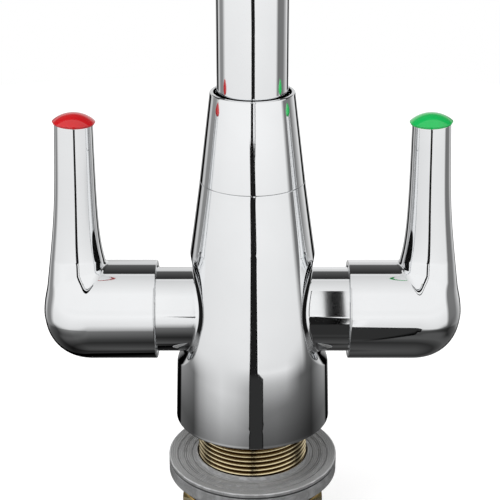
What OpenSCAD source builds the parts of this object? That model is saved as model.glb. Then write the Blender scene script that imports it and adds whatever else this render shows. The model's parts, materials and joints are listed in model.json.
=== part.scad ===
// Two handle kitchen mixer tap: a conical body with a round arm on each side, an L-shaped
// handle on each arm, a tall swan neck spout that turns, and a threaded shank below.
// Origin: centre of the underside of the body's foot, where it meets the worktop.
// +Z points up, the spout points to -Y, the hot side is -X and the cold side is +X.

/* [Body] */
// Radius of the foot at the worktop
foot_r = 22.95; // [21:0.05:26]
// Radius of the foot where its flank turns into the cone
waist_r = 22.3; // [21:0.05:24]
// Height of the turn from foot to cone
waist_h = 24.8; // [22:0.1:27]
// Rounding of the foot's lower edge
foot_round = 0.4; // [0.2:0.1:1.6]
// Height of the seam between body and collar
seam_h = 74.6; // [70:0.1:84]
// Radius at the seam
seam_r = 15; // [14.8:0.05:16]
// How far the cone's flank is hollowed between foot and seam
flank_sag = 0.15; // [0:0.05:0.4]
// Height of the handle axis
axis_h = 34.3; // [33:0.1:38]

/* [Arms] */
// Radius of each arm
arm_r = 12.35; // [11.9:0.05:12.8]
// Distance of the arm's end from the body's centre
arm_end = 31; // [29.5:0.1:32]
// Radius of the sunk window around each arm
window_r = 18.2; // [17:0.1:18.8]
// Half width of that window
window_half_w = 14.8; // [14:0.1:16]
// Depth of that window under the flank
window_depth = 1.9; // [1:0.1:2.5]

/* [Collar] */
// Height of the collar above the seam
collar_h = 25.7; // [24:0.1:32]
// Outer radius at the collar's top
collar_top_r = 11.9; // [11.6:0.05:12.6]
// Depth of the open gap around the tube at the top
collar_gap_depth = 5.3; // [3:0.1:7]
// Wall at the collar's top rim
collar_rim_wall = 1; // [0.8:0.1:1.2]

/* [Spout] */
// Radius of the spout tube
tube_r = 10; // [9.8:0.05:10.2]
// Wall of the spout tube
tube_wall = 1; // [0.8:0.1:1.2]
// Height above the worktop where the neck starts to bend
neck_start_h = 230; // [180:1:300]
// Radius of the neck's bend at the tube's centre
neck_bend_r = 90; // [60:1:120]
// Straight tube between the end of the bend and the nozzle ring
outlet_straight = 11; // [5:1:60]

/* [Aerator] */
// Outer radius of nozzle ring and aerator housing
aerator_r = 12; // [11.8:0.1:13]
// Length of the nozzle ring that shows
nozzle_len = 12; // [10:0.5:16]
// Length of the aerator housing
aerator_len = 17; // [16:0.5:20]
// Radius of the thread between nozzle and housing
aerator_thread_r = 11; // [10.8:0.1:11.2]

/* [Handles] */
// Outer radius of the handle's barrel
barrel_r = 14.46; // [14.2:0.02:15]
// Distance of the barrel's open end from the body's centre
barrel_start = 27.9; // [27:0.1:29]
// Distance of the elbow's centre from the body's centre
elbow_x = 46.7; // [44:0.1:54]
// Height of the lever's top above the handle axis
lever_top_h = 57.3; // [45:0.1:80]
// Radius of the lever at its top
lever_top_r = 5.65; // [5.2:0.05:6]
// Radius of the lever at a third of its height
lever_low_r = 7.5; // [6.8:0.05:8]
// Radius of the lever's root in the elbow
lever_root_r = 8.8; // [8:0.05:9.4]
// Lean of the lever towards the body
lever_lean = 2.4; // [0:0.1:4]
// How far the lever's top lies outside the elbow's centre
lever_top_out = 3.2; // [2:0.1:4]
// Radius of the index cap
cap_r = 6.05; // [5.8:0.05:6.4]
// Height of the cap's dome
cap_dome = 1.8; // [1.2:0.1:3]

/* [Shank] */
// Radius of the threaded shank
shank_r = 16.5; // [16:0.05:17]
// Length of the shank below the worktop line
shank_len = 50; // [46:1:80]
// Radius of the shank's bore
shank_bore_r = 12.5; // [12:0.1:13]

/* [Clamp set] */
// Worktop gap from the foot down to the clamp gasket
clamp_gap = 13.5; // [10:0.1:16]
// Outer radius of the clamp gasket
gasket_r = 25.6; // [24:0.1:28]
// Radius of the gasket's hole
gasket_hole_r = 17.4; // [17.1:0.05:17.4]
// Height of the gasket over both lips
gasket_h = 5.4; // [4.5:0.1:8]
// Thickness of the steel clamp washer
washer_h = 1.5; // [1:0.1:2.5]
// Height of the lock nut
nut_h = 8; // [6:0.1:10]
// Width of the lock nut across its flats
nut_af = 42; // [40:0.5:46]

/* [Inlets] */
// Distance of each inlet port from the body's centre
inlet_x = 6.2; // [6:0.05:6.6]
// Radius of each inlet port's thread
inlet_r = 5; // [4.8:0.05:5.2]
// Metal between the end of each inlet port and the valve chamber above it
inlet_cover = 2.7; // [2:0.1:5]
// Radius of the waterways
waterway_r = 2.4; // [2:0.1:2.5]

/* [Valves] */
// Radius of the valve thread in the arm
valve_thread_r = 10.4; // [10.2:0.05:10.5]
// Radius of the valve body's lower part
valve_r = 8.8; // [8.6:0.05:9]
// Radius of the valve body's bore
valve_bore_r = 7.6; // [7.5:0.05:7.8]
// Radius of the spindle
spindle_r = 4; // [3.8:0.05:4.2]
// Thickness of the fixed disc
fixed_disc_h = 2.8; // [2.4:0.1:3]
// Thickness of the moving disc
moving_disc_h = 2.5; // [2.2:0.1:2.8]

/* [Hidden] */
$fn = 96;

// The side each handle is on: hot to the left of the person at the sink, cold to the right
HOT = -1;
COLD = 1;

// Clearances: between threads, in turning fits, round seals, and the overrun of every cut
thread_gap = 0.05;
turn_gap = 0.05;
seal_gap = 0.03;
disc_gap = 0.3;
overrun = 1;

// Body: rounded step from foot to cone, and the hollows inside
waist_blend_h = 4;
cone_steps = 6;
shank_spigot_r = 15;
shank_spigot_len = 10;
socket_r = 10.55;
socket_depth = 16.6;
chamber_r = 7.5;
chamber_h = 10;
spigot_r = 12.3;
spigot_len = 10;
foot_land_w = 2.55;
base_ring_thick = 1.6;

// Places along each arm, measured from the body's centre
seat_x = 10;
seat_seal_h = 1.9;
valve_inner_x = 11.3;
thread_start_x = 22.2;
valve_chamber_r = 9.6;
valve_washer_h = 0.8;
hex_af = 19;
hex_h = 3.2;
neck_r = 6.4;
neck_len = 2.2;

// Spindle: driver head, lugs, grooves and drive end
driver_gap = 2.8;
driver_h = 2.6;
lug_w = 2.4;
lug_r = 5.4;
lug_sink = 0.8;
ring_section_r = 0.55;
ring_groove_w = 1.3;
circlip_h = 0.7;
circlip_r = 5.4;
drive_flat = 3;
drive_len = 8.4;
disc_port_r = 2.1;
disc_port_x = 4;

// Handle: bore, solid end, adaptor, grub screw, cap stem
skirt_bore_r = 12.75;
adaptor_r = 6;
grub_r = 2.5;
grub_len = 8;
grub_key_r = 1.4;
grub_key_depth = 3;
cap_stem_r = 3;
cap_stem_len = 6;
cap_rim_h = 0.6;

// Spout: root fitting and what it turns in
root_bore_r = 7;
root_spigot_len = 8;
root_shoulder_h = 1.4;
slip_ring_h = 2;
slip_ring_r = 12.2;
slip_ring_bore_r = 9.1;
slip_ring_slot = 1.5;
root_groove_r = 9;
o_ring_section_r = 0.9;
o_ring_groove_w = 2.2;
o_ring_first_h = 5;
o_ring_step_h = 8;
thrust_washer_h = 1;
thrust_washer_bore_r = 8;
collar_tube_gap = 0.3;

// Aerator: what sits inside the housing
nozzle_cover = 8;
nozzle_thread_len = 5.5;
outlet_lip = 1.2;
outlet_lip_w = 2.6;
insert_h = 7;
insert_wall = 2.6;
insert_hole_r = 0.8;
insert_hole_rings = 3;
insert_grille_h = 1.6;
screen_h = 0.5;
screen_count = 2;
screen_gap = 1.2;
aerator_washer_w = 2.2;

// Gasket: its thin upper lip, the groove under it and the dished top
gasket_lip_h = 1.1;
gasket_groove_h = 0.5;
gasket_groove_depth = 0.8;
gasket_dish = 0.3;
gasket_rim_w = 0.5;
gasket_root_w = 1.8;
nut_flange_r = 22.5;
nut_flange_h = 2;
nut_chamfer = 1.2;
washer_r = 24;

// Worked out from the sizes above
cone_h = seam_h - waist_h;
foot_recess_r = foot_r - foot_round - foot_land_w;
base_ring_r = (shank_r + foot_recess_r) / 2;
collar_top_h = seam_h + collar_h;
socket_floor_h = seam_h - socket_depth;
inlet_end_h = axis_h - valve_chamber_r - inlet_cover;
spigot_top_h = seam_h + spigot_len;
slip_ring_top_h = spigot_top_h + slip_ring_h;
root_shoulder_top_h = slip_ring_top_h + root_shoulder_h;
root_bottom_h = socket_floor_h + thrust_washer_h;
tube_bore_r = tube_r - tube_wall;
nozzle_top_h = neck_start_h - outlet_straight;
tube_end_h = nozzle_top_h - nozzle_cover;
housing_top_h = nozzle_top_h - nozzle_len;
outlet_h = housing_top_h - aerator_len;
fixed_disc_x = seat_x + seat_seal_h;
moving_disc_x = fixed_disc_x + fixed_disc_h;
driver_x = moving_disc_x + moving_disc_h;
head_x = driver_x + driver_gap;
head_end_x = head_x + driver_h;
shoulder_x = head_end_x + thread_gap;
hex_x = arm_end + valve_washer_h;
hex_end_x = hex_x + hex_h;
neck_end_x = hex_end_x + neck_len;
circlip_x = neck_end_x + turn_gap;
handle_solid_x = circlip_x + circlip_h + disc_gap;
grub_x = handle_solid_x + drive_len / 2;
lever_top_x = elbow_x + lever_top_out;
gasket_top = -clamp_gap;
washer_top = gasket_top - gasket_h;
nut_top = washer_top - washer_h;

// Colours
CHROME = [0.82, 0.83, 0.85];
BRASS = [0.78, 0.64, 0.36];
STEEL = [0.68, 0.69, 0.71];
RUBBER = [0.16, 0.16, 0.17];
GASKET_GREY = [0.55, 0.55, 0.56];
NYLON = [0.88, 0.88, 0.85];
CERAMIC = [0.93, 0.92, 0.88];
RED = [0.80, 0.12, 0.16];
GREEN = [0.08, 0.72, 0.36];

// Radius of the cone between waist and seam, hollowed a little in the middle
function cone_r(share) = waist_r + (seam_r - waist_r) * share - 4 * flank_sag * share * (1 - share);

// Outline of the body's flank, from the rounded foot up to the seam, less an inset
function flank_points(inset) = concat(
    [[foot_r - inset, foot_round]],
    [[waist_r + (foot_r - waist_r) * waist_blend_h / waist_h - inset, waist_h - waist_blend_h]],
    [for (i = [0 : cone_steps])
        let (share = (waist_blend_h + (cone_h - waist_blend_h) * i / cone_steps) / cone_h)
        [cone_r(share) - inset, waist_h + cone_h * share]]);

// Half outline of the outer cone, closed along the axis, with the foot's edge rounded
module flank_outline(inset) {
    union() {
        polygon(concat([[0, foot_round]], flank_points(inset), [[0, seam_h]]));
        square([foot_r - inset - foot_round, foot_round]);
        translate([foot_r - inset - foot_round, foot_round])
            intersection() {
                circle(r = foot_round);
                translate([0, -foot_round])
                    square(foot_round);
            }
    }
}

// Ring with a square section, standing on z = 0
module flat_ring(outer_r, bore_r, height) {
    difference() {
        cylinder(r = outer_r, h = height);
        translate([0, 0, -overrun])
            cylinder(r = bore_r, h = height + 2 * overrun);
    }
}

// Ring with a round section, centred on z = 0
module o_ring(middle_r, section_r) {
    rotate_extrude()
        translate([middle_r, 0])
            circle(r = section_r, $fn = 32);
}

// Turns a child drawn along +Z so that it runs outwards along the handle axis of one side.
// There the child's -X points up.
module along_arm(side) {
    translate([0, 0, axis_h])
        mirror([side < 0 ? 1 : 0, 0, 0])
            rotate([0, 90, 0])
                children();
}

// Cutter that sinks the window round one arm to an even depth under the flank
module arm_window(side) {
    difference() {
        along_arm(side)
            intersection() {
                cylinder(r = window_r, h = foot_r + overrun);
                translate([-window_r - overrun, -window_half_w, 0])
                    cube([2 * (window_r + overrun), 2 * window_half_w, foot_r + overrun]);
            }
        rotate_extrude()
            flank_outline(window_depth);
    }
}

// Waterways of one side: port from below, way to the seat, valve chamber and way to the spout
module side_waterways(side) {
    translate([side * inlet_x, 0, 0])
        cylinder(r = waterway_r, h = axis_h);
    translate([side * inlet_x, 0, 0])
        cylinder(r = inlet_r, h = inlet_end_h);
    along_arm(side) {
        translate([0, 0, inlet_x])
            sphere(r = waterway_r);
        translate([0, 0, inlet_x])
            cylinder(r = waterway_r, h = seat_x - inlet_x + overrun);
        translate([0, 0, seat_x])
            cylinder(r = valve_chamber_r, h = thread_start_x - seat_x);
        translate([0, 0, thread_start_x])
            cylinder(r = valve_thread_r + thread_gap, h = arm_end - thread_start_x + overrun);
    }
    rising_way(side);
}

// Slanted way from the valve chamber up into the mixing chamber
module rising_way(side) {
    start_x = (seat_x + moving_disc_x) / 2 + waterway_r;
    start_z = axis_h + valve_bore_r * 0.7;
    end_x = waterway_r;
    end_z = socket_floor_h - chamber_h / 2;
    run = start_x - end_x;
    rise = end_z - start_z;
    translate([side * start_x, 0, start_z])
        rotate([0, -side * atan2(run, rise), 0])
            cylinder(r = waterway_r, h = norm([run, rise]));
}

module body_casting() {
    color(CHROME)
        difference() {
            union() {
                difference() {
                    rotate_extrude()
                        flank_outline(0);
                    arm_window(HOT);
                    arm_window(COLD);
                }
                translate([0, 0, seam_h - overrun])
                    cylinder(r = spigot_r, h = spigot_len + overrun);
                along_arm(HOT)
                    cylinder(r = arm_r, h = arm_end);
                along_arm(COLD)
                    cylinder(r = arm_r, h = arm_end);
            }
            translate([0, 0, socket_floor_h])
                cylinder(r = socket_r, h = spigot_top_h - socket_floor_h + overrun);
            translate([0, 0, socket_floor_h - chamber_h])
                cylinder(r = chamber_r, h = chamber_h + overrun);
            translate([0, 0, -overrun])
                cylinder(r = shank_spigot_r + thread_gap, h = shank_spigot_len + overrun);
            translate([0, 0, -overrun])
                cylinder(r = foot_recess_r, h = base_ring_thick + overrun);
            side_waterways(HOT);
            side_waterways(COLD);
        }
}

// Ring in the foot's recess, round the top of the shank
module base_o_ring() {
    color(RUBBER)
        translate([0, 0, base_ring_thick / 2])
            rotate_extrude()
                translate([base_ring_r, 0])
                    circle(r = base_ring_thick / 2, $fn = 32);
}

module spout_collar() {
    lip_h = slip_ring_top_h + thread_gap;
    gap_floor_h = collar_top_h - collar_gap_depth;
    color(CHROME)
        difference() {
            translate([0, 0, seam_h])
                cylinder(r1 = seam_r, r2 = collar_top_r, h = collar_top_h - seam_h);
            translate([0, 0, seam_h - overrun])
                cylinder(r = spigot_r + thread_gap, h = lip_h - seam_h + overrun);
            translate([0, 0, seam_h])
                cylinder(r = tube_r + collar_tube_gap, h = collar_top_h - seam_h);
            translate([0, 0, gap_floor_h])
                cylinder(r = collar_top_r - collar_rim_wall, h = collar_gap_depth + overrun);
        }
}

module threaded_shank() {
    color(BRASS)
        difference() {
            union() {
                translate([0, 0, -shank_len])
                    cylinder(r = shank_r, h = shank_len + base_ring_thick);
                cylinder(r = shank_spigot_r, h = shank_spigot_len);
            }
            translate([0, 0, -shank_len - overrun])
                cylinder(r = shank_bore_r, h = shank_len + shank_spigot_len + 2 * overrun);
        }
}

module spout_thrust_washer() {
    color(NYLON)
        translate([0, 0, socket_floor_h])
            flat_ring(socket_r - turn_gap, thrust_washer_bore_r, thrust_washer_h);
}

// Split ring: it is sprung over the root's groove before the collar goes on
module spout_slip_ring() {
    color(NYLON)
        translate([0, 0, spigot_top_h])
            difference() {
                flat_ring(slip_ring_r, slip_ring_bore_r, slip_ring_h);
                translate([-slip_ring_slot / 2, 0, -overrun])
                    cube([slip_ring_slot, slip_ring_r + overrun, slip_ring_h + 2 * overrun]);
            }
}

// Swan neck: straight up from the root, half a turn forwards, and down to the nozzle
module spout_tube() {
    color(CHROME) {
        translate([0, 0, root_shoulder_top_h])
            flat_ring(tube_r, tube_bore_r, neck_start_h - root_shoulder_top_h);
        translate([0, -neck_bend_r, neck_start_h])
            rotate([0, -90, 0])
                rotate([0, 0, -90])
                    rotate_extrude(angle = 180)
                        translate([neck_bend_r, 0])
                            difference() {
                                circle(r = tube_r);
                                circle(r = tube_bore_r);
                            }
        translate([0, -2 * neck_bend_r, tube_end_h])
            flat_ring(tube_r, tube_bore_r, neck_start_h - tube_end_h);
    }
}

module root_ring_groove(height) {
    translate([0, 0, height - o_ring_groove_w / 2])
        flat_ring(socket_r + overrun, socket_r - 2 * o_ring_section_r - seal_gap,
                  o_ring_groove_w);
}

module spout_root() {
    color(BRASS)
        difference() {
            union() {
                translate([0, 0, root_bottom_h])
                    cylinder(r = socket_r - turn_gap, h = spigot_top_h - root_bottom_h);
                translate([0, 0, spigot_top_h])
                    cylinder(r = root_groove_r, h = slip_ring_h);
                translate([0, 0, slip_ring_top_h])
                    cylinder(r = tube_r, h = root_shoulder_h);
                translate([0, 0, root_shoulder_top_h])
                    cylinder(r = tube_bore_r - thread_gap, h = root_spigot_len);
            }
            translate([0, 0, root_bottom_h - overrun])
                cylinder(r = root_bore_r,
                         h = root_shoulder_top_h + root_spigot_len - root_bottom_h
                             + 2 * overrun);
            root_ring_groove(root_bottom_h + o_ring_first_h);
            root_ring_groove(root_bottom_h + o_ring_first_h + o_ring_step_h);
        }
}

module spout_o_rings() {
    color(RUBBER)
        for (i = [0, 1])
            translate([0, 0, root_bottom_h + o_ring_first_h + i * o_ring_step_h])
                o_ring(socket_r - seal_gap - o_ring_section_r, o_ring_section_r);
}

// Moves a child drawn round the Z axis to the spout's outlet
module at_outlet(height) {
    translate([0, -2 * neck_bend_r, height])
        children();
}

module spout_nozzle() {
    color(CHROME)
        at_outlet(housing_top_h)
            difference() {
                union() {
                    cylinder(r = aerator_r, h = nozzle_len);
                    translate([0, 0, -nozzle_thread_len])
                        cylinder(r = aerator_thread_r, h = nozzle_thread_len);
                }
                translate([0, 0, nozzle_len - nozzle_cover])
                    cylinder(r = tube_r + thread_gap, h = nozzle_cover + overrun);
                translate([0, 0, -nozzle_thread_len - overrun])
                    cylinder(r = tube_bore_r, h = nozzle_thread_len + nozzle_len + overrun);
            }
}

module aerator_housing() {
    color(CHROME)
        at_outlet(outlet_h)
            difference() {
                cylinder(r = aerator_r, h = aerator_len);
                translate([0, 0, outlet_lip])
                    cylinder(r = aerator_thread_r + thread_gap, h = aerator_len);
                translate([0, 0, -overrun])
                    cylinder(r = aerator_r - outlet_lip_w, h = aerator_len);
            }
}

module aerator_insert() {
    outer_r = aerator_thread_r - thread_gap;
    inner_r = outer_r - insert_wall;
    color(NYLON)
        at_outlet(outlet_h + outlet_lip)
            union() {
                flat_ring(outer_r, inner_r, insert_h);
                difference() {
                    cylinder(r = inner_r + overrun, h = insert_grille_h);
                    translate([0, 0, -overrun])
                        cylinder(r = insert_hole_r, h = insert_grille_h + 2 * overrun, $fn = 24);
                    for (ring = [1 : insert_hole_rings])
                        for (k = [0 : 6 * ring - 1])
                            rotate([0, 0, 60 * k / ring])
                                translate([ring * inner_r / (insert_hole_rings + 0.5), 0,
                                           -overrun])
                                    cylinder(r = insert_hole_r,
                                             h = insert_grille_h + 2 * overrun, $fn = 24);
                }
            }
}

// Two thin screens held in the insert, above its grille
module aerator_screens() {
    screen_r = aerator_thread_r - insert_wall - 2 * thread_gap;
    color(STEEL)
        for (i = [0 : screen_count - 1])
            at_outlet(outlet_h + outlet_lip + insert_grille_h + i * (screen_h + screen_gap))
                difference() {
                    cylinder(r = screen_r, h = screen_h);
                    for (ring = [1 : insert_hole_rings])
                        for (k = [0 : 6 * ring - 1])
                            rotate([0, 0, 60 * k / ring + 30 / ring])
                                translate([ring * screen_r / (insert_hole_rings + 0.5), 0,
                                           -overrun])
                                    cylinder(r = insert_hole_r,
                                             h = screen_h + 2 * overrun, $fn = 24);
                }
}

module aerator_washer() {
    washer_z = outlet_h + outlet_lip + insert_h;
    color(RUBBER)
        at_outlet(washer_z)
            flat_ring(aerator_thread_r - thread_gap, aerator_thread_r - aerator_washer_w,
                      housing_top_h - nozzle_thread_len - washer_z);
}

// Grey ring: a thin upper lip with a dished top, a groove round the edge and a thick lower lip
module clamp_gasket() {
    groove_top = gasket_h - gasket_lip_h;
    groove_bottom = groove_top - gasket_groove_h;
    color(GASKET_GREY)
        translate([0, 0, washer_top])
            rotate_extrude()
                polygon([[gasket_hole_r, 0],
                         [gasket_r, 0],
                         [gasket_r, groove_bottom],
                         [gasket_r - gasket_groove_depth, groove_bottom],
                         [gasket_r - gasket_groove_depth, groove_top],
                         [gasket_r, groove_top],
                         [gasket_r, gasket_h],
                         [gasket_r - gasket_rim_w, gasket_h],
                         [gasket_r - gasket_rim_w - gasket_root_w, gasket_h - gasket_dish],
                         [gasket_hole_r, gasket_h - gasket_dish]]);
}

module clamp_washer() {
    color(STEEL)
        translate([0, 0, nut_top])
            flat_ring(washer_r, shank_r + disc_gap, washer_h);
}

// Brass nut: a round flange against the washer and a hexagon below it, chamfered at its end
module lock_nut() {
    hex_r = nut_af / 2 / cos(30);
    color(BRASS)
        difference() {
            intersection() {
                union() {
                    translate([0, 0, nut_top - nut_flange_h])
                        cylinder(r = nut_flange_r, h = nut_flange_h);
                    translate([0, 0, nut_top - nut_h])
                        cylinder(r = hex_r, h = nut_h - nut_flange_h, $fn = 6);
                }
                translate([0, 0, nut_top - nut_h])
                    cylinder(r1 = hex_r - nut_chamfer, r2 = hex_r + nut_h - nut_chamfer,
                             h = nut_h);
            }
            translate([0, 0, nut_top - nut_h - overrun])
                cylinder(r = shank_r + turn_gap, h = nut_h + 2 * overrun);
        }
}

// Outline of the handle's barrel along the arm: a round bar with a ball end
module barrel_outline() {
    union() {
        translate([0, barrel_start])
            square([barrel_r, elbow_x - barrel_start]);
        translate([0, elbow_x])
            intersection() {
                circle(r = barrel_r);
                square(barrel_r);
            }
    }
}

// Moves a child to the lever's top, inside along_arm(): there its +Z runs up along the lever
module at_lever_top() {
    translate([-lever_top_h, 0, lever_top_x])
        rotate([0, -90, 0])
            rotate([0, -lever_lean, 0])
                children();
}

// Lever: a tapered round bar that leans a little towards the body, flaring into the elbow.
// Its outline is in shares of the lever's height.
module lever_bar() {
    low_share = 0.33;
    root_share = 0.1;
    bar_h = lever_top_h / cos(lever_lean);
    at_lever_top()
        translate([0, 0, -bar_h])
            rotate_extrude()
                polygon([[0, 0],
                         [lever_root_r, 0],
                         [lever_root_r, root_share * bar_h],
                         [lever_low_r, low_share * bar_h],
                         [lever_top_r, bar_h],
                         [0, bar_h]]);
}

module handle(side) {
    color(CHROME)
        along_arm(side)
            difference() {
                union() {
                    rotate_extrude()
                        barrel_outline();
                    lever_bar();
                }
                translate([0, 0, barrel_start - overrun])
                    cylinder(r = skirt_bore_r, h = handle_solid_x - barrel_start + overrun);
                translate([0, 0, handle_solid_x - overrun])
                    cylinder(r = adaptor_r + thread_gap, h = drive_len + overrun + thread_gap);
                translate([0, 0, grub_x])
                    rotate([0, 90, 0])
                        cylinder(r = grub_r + thread_gap, h = barrel_r + overrun);
                at_lever_top()
                    translate([0, 0, -cap_stem_len - turn_gap])
                        cylinder(r = cap_stem_r + thread_gap, h = cap_stem_len + overrun);
            }
}

// Domed cap with a stem pressed into the lever's end
module index_cap(side, shade) {
    dome_r = (pow(cap_r, 2) + pow(cap_dome, 2)) / (2 * cap_dome);
    color(shade)
        along_arm(side)
            at_lever_top() {
                cylinder(r = cap_r, h = cap_rim_h);
                translate([0, 0, cap_rim_h])
                    intersection() {
                        translate([0, 0, cap_dome - dome_r])
                            sphere(r = dome_r);
                        cylinder(r = cap_r, h = cap_dome + overrun);
                    }
                translate([0, 0, -cap_stem_len])
                    cylinder(r = cap_stem_r, h = cap_stem_len);
            }
}

module grub_screw(side) {
    color(STEEL)
        along_arm(side)
            translate([0, 0, grub_x])
                rotate([0, 90, 0])
                    translate([0, 0, drive_flat + turn_gap])
                        difference() {
                            cylinder(r = grub_r, h = grub_len);
                            translate([0, 0, grub_len - grub_key_depth])
                                cylinder(r = grub_key_r, h = grub_key_depth + overrun, $fn = 6);
                        }
}

// Round bar with two flats, the drive between spindle and handle
module drive_bar(radius, half_flat, length) {
    linear_extrude(height = length)
        intersection() {
            circle(r = radius);
            square([2 * half_flat, 2 * radius + overrun], center = true);
        }
}

module handle_adaptor(side) {
    color(NYLON)
        along_arm(side)
            translate([0, 0, handle_solid_x])
                difference() {
                    cylinder(r = adaptor_r, h = drive_len);
                    translate([0, 0, -overrun])
                        drive_bar(spindle_r + thread_gap, drive_flat + thread_gap,
                                  drive_len + 2 * overrun);
                    translate([0, 0, grub_x - handle_solid_x])
                        rotate([0, 90, 0])
                            cylinder(r = grub_r + thread_gap, h = adaptor_r + overrun);
                }
}

// Groove round the spindle for one of its rings
module spindle_groove(place, width, depth) {
    translate([0, 0, place])
        flat_ring(spindle_r + overrun, spindle_r - depth, width);
}

// Places of the two spindle rings, as distances from the body's centre
function spindle_ring_x(i) = shoulder_x + (neck_end_x - shoulder_x) * (i + 1) / 3;

module spindle(side) {
    color(BRASS)
        along_arm(side) {
            difference() {
                union() {
                    translate([0, 0, head_x])
                        cylinder(r = valve_bore_r - disc_gap, h = driver_h);
                    translate([0, 0, head_x])
                        cylinder(r = spindle_r, h = handle_solid_x - head_x);
                    translate([0, 0, handle_solid_x])
                        drive_bar(spindle_r, drive_flat, drive_len);
                }
                for (i = [0, 1])
                    spindle_groove(spindle_ring_x(i) - ring_groove_w / 2, ring_groove_w,
                                   2 * ring_section_r + seal_gap);
                spindle_groove(circlip_x - turn_gap, circlip_h + 2 * turn_gap,
                               2 * ring_section_r);
            }
            for (turn = [0, 180])
                rotate([0, 0, turn])
                    translate([lug_r - lug_w, -lug_w / 2, driver_x - lug_sink])
                        cube([lug_w, lug_w, driver_gap + lug_sink]);
        }
}

module moving_disc(side) {
    color(CERAMIC)
        along_arm(side)
            translate([0, 0, moving_disc_x])
                difference() {
                    cylinder(r = valve_bore_r - disc_gap, h = moving_disc_h);
                    for (turn = [90, 270])
                        rotate([0, 0, turn])
                            translate([disc_port_x, 0, -overrun])
                                cylinder(r = disc_port_r, h = moving_disc_h + 2 * overrun);
                    for (turn = [0, 180])
                        rotate([0, 0, turn])
                            translate([lug_r - lug_w - turn_gap, -lug_w / 2 - turn_gap,
                                       moving_disc_h - lug_sink - turn_gap])
                                cube([lug_w + 2 * turn_gap, lug_w + 2 * turn_gap,
                                      lug_sink + overrun]);
                }
}

module fixed_disc(side) {
    color(CERAMIC)
        along_arm(side)
            translate([0, 0, fixed_disc_x])
                difference() {
                    cylinder(r = valve_bore_r - turn_gap, h = fixed_disc_h);
                    for (turn = [0, 180])
                        rotate([0, 0, turn])
                            translate([disc_port_x, 0, -overrun])
                                cylinder(r = disc_port_r, h = fixed_disc_h + 2 * overrun);
                }
}

module seat_seal(side) {
    color(RUBBER)
        along_arm(side)
            translate([0, 0, seat_x])
                flat_ring(valve_bore_r - turn_gap, disc_port_x + disc_port_r, seat_seal_h);
}

module spindle_o_rings(side) {
    color(RUBBER)
        along_arm(side)
            for (i = [0, 1])
                translate([0, 0, spindle_ring_x(i)])
                    o_ring(spindle_r + turn_gap - seal_gap - ring_section_r, ring_section_r);
}

module circlip(side) {
    color(STEEL)
        along_arm(side)
            translate([0, 0, circlip_x])
                difference() {
                    flat_ring(circlip_r, spindle_r - 2 * ring_section_r + turn_gap, circlip_h);
                    translate([0, -spindle_r / 2, -overrun])
                        cube([circlip_r + overrun, spindle_r, circlip_h + 2 * overrun]);
                }
}

// Valve body: skirt round the discs with two outlet windows, thread, hexagon and neck
module valve_body(side) {
    window_h = driver_gap - 2 * turn_gap;
    color(BRASS)
        along_arm(side)
            difference() {
                union() {
                    translate([0, 0, valve_inner_x])
                        cylinder(r = valve_r, h = hex_x - valve_inner_x);
                    translate([0, 0, thread_start_x + thread_gap])
                        cylinder(r = valve_thread_r, h = hex_x - thread_start_x - thread_gap);
                    translate([0, 0, hex_x])
                        cylinder(r = hex_af / 2 / cos(30), h = hex_h, $fn = 6);
                    translate([0, 0, hex_x])
                        cylinder(r = neck_r, h = hex_h + neck_len);
                }
                translate([0, 0, valve_inner_x - overrun])
                    cylinder(r = valve_bore_r, h = shoulder_x - valve_inner_x + overrun);
                translate([0, 0, shoulder_x - overrun])
                    cylinder(r = spindle_r + turn_gap, h = neck_end_x - shoulder_x + 2 * overrun);
                translate([-valve_bore_r / 2, -valve_r - overrun, driver_x + turn_gap])
                    cube([valve_bore_r, 2 * (valve_r + overrun), window_h]);
            }
}

module valve_washer(side) {
    color(RUBBER)
        along_arm(side)
            translate([0, 0, arm_end])
                flat_ring(arm_r - turn_gap, valve_thread_r + thread_gap, valve_washer_h);
}

body_casting();
spout_collar();
threaded_shank();
base_o_ring();
spout_thrust_washer();
spout_slip_ring();
spout_tube();
spout_root();
spout_o_rings();
spout_nozzle();
aerator_housing();
aerator_insert();
aerator_screens();
aerator_washer();
clamp_gasket();
clamp_washer();
lock_nut();
handle(HOT);  // hot_handle
index_cap(HOT, RED);  // hot_index_cap
grub_screw(HOT);  // hot_grub_screw
handle_adaptor(HOT);  // hot_handle_adaptor
spindle(HOT);  // hot_spindle
moving_disc(HOT);  // hot_moving_disc
spindle_o_rings(HOT);  // hot_spindle_o_rings
circlip(HOT);  // hot_circlip
valve_body(HOT);  // hot_valve_body
valve_washer(HOT);  // hot_valve_washer
fixed_disc(HOT);  // hot_fixed_disc
seat_seal(HOT);  // hot_seat_seal
handle(COLD);  // cold_handle
index_cap(COLD, GREEN);  // cold_index_cap
grub_screw(COLD);  // cold_grub_screw
handle_adaptor(COLD);  // cold_handle_adaptor
spindle(COLD);  // cold_spindle
moving_disc(COLD);  // cold_moving_disc
spindle_o_rings(COLD);  // cold_spindle_o_rings
circlip(COLD);  // cold_circlip
valve_body(COLD);  // cold_valve_body
valve_washer(COLD);  // cold_valve_washer
fixed_disc(COLD);  // cold_fixed_disc
seat_seal(COLD);  // cold_seat_seal
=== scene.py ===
"""Kitchen mixer tap, dressed for a studio picture on the frame of its CAD model.

Every shape is a numpy surface in millimetres, in the frame of the CAD model: x to the user's
right, y away from the user, z up from the worktop. Each piece takes the place of one CAD node
and rides on the same body. The valves, seals and small parts stay as CAD and get materials.
"""

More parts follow.
